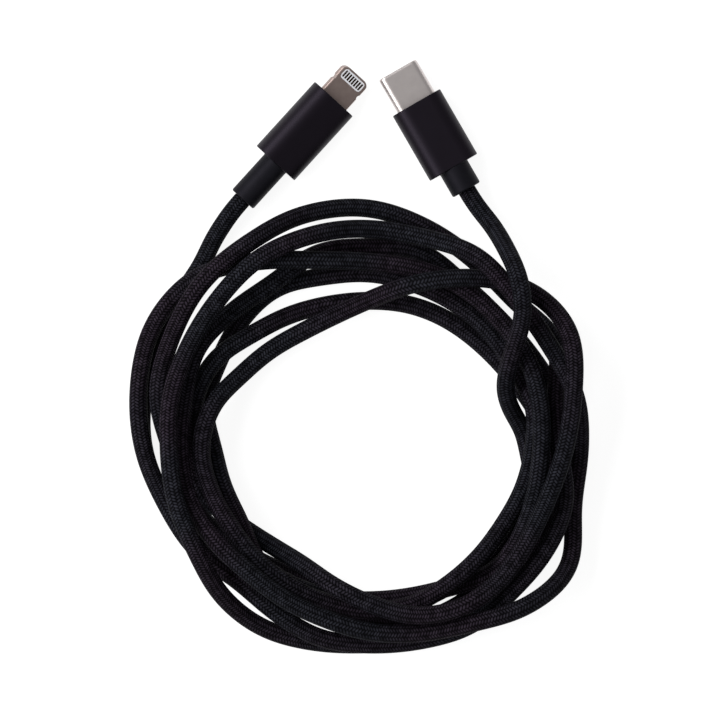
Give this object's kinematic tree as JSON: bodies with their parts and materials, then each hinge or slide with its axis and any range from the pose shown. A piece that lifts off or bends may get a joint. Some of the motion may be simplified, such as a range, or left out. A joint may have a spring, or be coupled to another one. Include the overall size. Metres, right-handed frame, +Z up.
{
  "type": "charging cable",
  "caption": "Braided charging cable in a loose coil, with a slim tab plug on one end and an oval shell plug on the other.",
  "frame": {"origin": "on the plane that both plugs rest on, below the middle of the two plugs' bounding box", "axes": "+Z up from the resting plane, +Y from the coil toward the plugs' tips, +X toward the oval plug"},
  "size_m": [0.0879, 0.1141, 0.0205],
  "materials": {
    "tab_metal": "satin plated stainless steel",
    "shell_metal": "drawn and nickel-plated steel",
    "can_metal": "tin-plated steel sheet",
    "spring_steel": "nickel-plated spring steel",
    "contact_gold": "gold-plated copper alloy",
    "insulator_white": "moulded liquid-crystal polymer",
    "insulator_black": "moulded liquid-crystal polymer",
    "board": "glass-fibre board with solder mask",
    "chip": "moulded epoxy package",
    "ceramic": "fired ceramic",
    "mould": "hard inner moulding",
    "core": "extruded core insulation over copper strand",
    "housing": "moulded, smooth satin gloss",
    "sleeve": "satin thermoplastic elastomer",
    "braid": "black polyester braid over a PVC jacket"
  },
  "bodies": {
    "root": {"tab_frame": "tab_metal", "tab_insulator": "insulator_white", "tab_contacts": "contact_gold", "tab_circuit_board": "board", "tab_control_chip": "chip", "tab_passives": "ceramic", "tab_shield_can": "can_metal", "tab_inner_mould": "mould", "tab_crimp_ring": "can_metal", "tab_wires": "core", "tab_cord_end": "braid", "tab_plug_housing": "housing", "tab_strain_sleeve": "sleeve", "oval_shell": "shell_metal", "oval_insulator": "insulator_black", "oval_contacts_upper": "contact_gold", "oval_contacts_lower": "contact_gold", "oval_latch_springs": "spring_steel", "oval_ground_springs": "spring_steel", "oval_circuit_board": "board", "oval_resistor": "chip", "oval_shield_can": "can_metal", "oval_inner_mould": "mould", "oval_crimp_ring": "can_metal", "oval_wires": "core", "oval_cord_end": "braid", "oval_plug_housing": "housing", "oval_strain_sleeve": "sleeve", "tab_lead": "braid", "coil": "braid", "oval_lead": "braid"}
  },
  "joints": []
}
